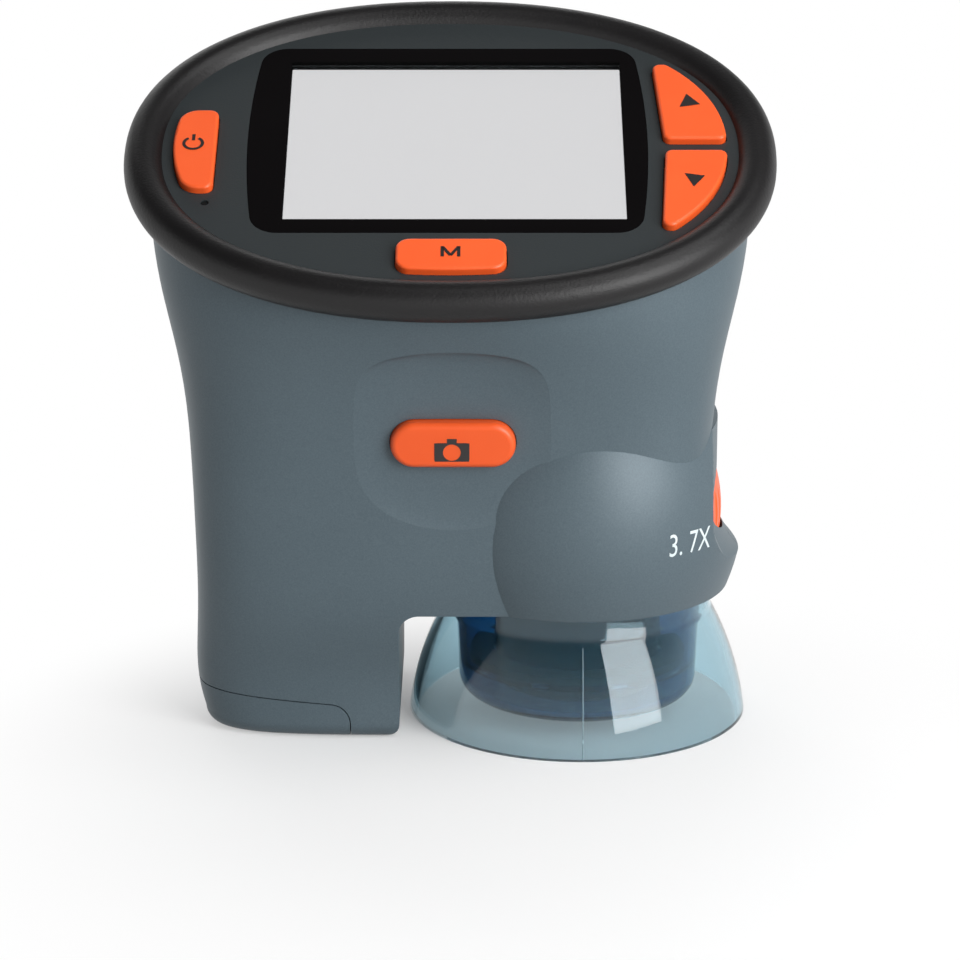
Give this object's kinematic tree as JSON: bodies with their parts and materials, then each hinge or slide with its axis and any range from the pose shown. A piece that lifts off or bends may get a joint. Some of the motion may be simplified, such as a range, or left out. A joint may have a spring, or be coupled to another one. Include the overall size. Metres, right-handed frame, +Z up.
{
  "type": "digital microscope with display",
  "caption": "Hand-held digital microscope with a tilted display head, press keys, a thumb focus wheel that moves the lens, a clear skirt with a lamp ring and a sliding battery door.",
  "frame": {"origin": "bottom centre of the bounding box, on the table below the middle of the rubber bead", "axes": "+Z up; +X to the right of a user who faces the display; +Y away from the user"},
  "size_m": [0.0946, 0.0646, 0.1035],
  "materials": {
    "housing": "satin blue-grey lacquer with a metallic flake",
    "bead_rubber": "semi-matte black, finely grained",
    "face": "matte dark grey",
    "window_glass": "clear pane with a black border",
    "screen": "even light grey screen",
    "panel_metal": "plain sheet metal",
    "inner_plastic": "matte black",
    "orange": "satin orange",
    "circuit_board": "green solder mask",
    "switch_metal": "tinned sheet metal",
    "lamp": "clear lamp resin",
    "screw_steel": "plain steel",
    "spacer_brass": "turned brass",
    "chip": "black resin",
    "barrel_metal": "black anodised",
    "lens_glass": "polished and coated",
    "clear_plastic": "clear moulded plastic",
    "cup_plastic": "glossy blue, lightly see-through",
    "cell_wrap": "shrink wrap",
    "contact_brass": "plated"
  },
  "bodies": {
    "housing": {"front_shell": "housing", "rear_shell": "housing", "bumper_ring": "bead_rubber", "face_plate": "face", "display_window": "window_glass", "lcd_screen": "screen", "lcd_panel": "panel_metal", "lcd_frame": "inner_plastic", "key_board": "circuit_board", "key_switches": "switch_metal", "pilot_light": "lamp", "plate_screws": "screw_steel", "main_board": "circuit_board", "board_spacers": "spacer_brass", "board_screws": "screw_steel", "processor_chip": "chip", "lens_chassis": "inner_plastic", "sensor_board": "circuit_board", "sensor_screws": "screw_steel", "image_sensor": "chip", "clear_skirt": "clear_plastic", "light_cup": "cup_plastic", "led_board": "circuit_board", "leds": "lamp", "battery_cell": "cell_wrap", "battery_sleeve": "inner_plastic", "cell_contact": "contact_brass", "housing_screws": "screw_steel", "shutter_board": "circuit_board", "shutter_switch": "switch_metal", "port_board": "circuit_board", "usb_socket": "switch_metal", "card_socket": "switch_metal"},
    "power_key": {"power_button": "orange"},
    "up_key": {"up_button": "orange"},
    "down_key": {"down_button": "orange"},
    "menu_key": {"menu_button": "orange"},
    "shutter_key": {"shutter_button": "orange"},
    "wheel": {"focus_wheel": "orange"},
    "lens_carriage": {"lens_barrel": "barrel_metal", "front_lens": "lens_glass", "rear_lens": "lens_glass", "front_retainer": "barrel_metal", "rear_retainer": "barrel_metal"},
    "door": {"battery_door": "housing", "door_contact": "contact_brass"}
  },
  "joints": [
    {"name": "power_press", "type": "slide", "parent": "housing", "child": "power_key", "axis": [0, 0.4602, -0.8878], "range_m": [0, 0.0006], "stiffness_N_per_m": 1000},
    {"name": "up_press", "type": "slide", "parent": "housing", "child": "up_key", "axis": [0, 0.4602, -0.8878], "range_m": [0, 0.0006], "stiffness_N_per_m": 1000},
    {"name": "down_press", "type": "slide", "parent": "housing", "child": "down_key", "axis": [0, 0.4602, -0.8878], "range_m": [0, 0.0006], "stiffness_N_per_m": 1000},
    {"name": "menu_press", "type": "slide", "parent": "housing", "child": "menu_key", "axis": [0, 0.4602, -0.8878], "range_m": [0, 0.0006], "stiffness_N_per_m": 1000},
    {"name": "shutter_press", "type": "slide", "parent": "housing", "child": "shutter_key", "axis": [0, 0.9877, 0.1564], "range_m": [0, 0.0006], "stiffness_N_per_m": 1000},
    {"name": "focus_turn", "type": "hinge", "parent": "housing", "child": "wheel", "pos_m": [0.0191, 0.00226, 0.034], "axis": [0, 0, 1], "range_deg": [-30, 270]},
    {"name": "lens_focus", "type": "slide", "parent": "housing", "child": "lens_carriage", "axis": [0, 0, 1], "range_m": [-0.0005, 0.0045]},
    {"name": "door_slide", "type": "slide", "parent": "housing", "child": "door", "axis": [-1, 0, 0], "range_m": [0, 0.01]}
  ],
  "couplings": [
    {"joint": "focus_turn", "follows": "lens_focus", "rad_per_m": 1047.2}
  ]
}
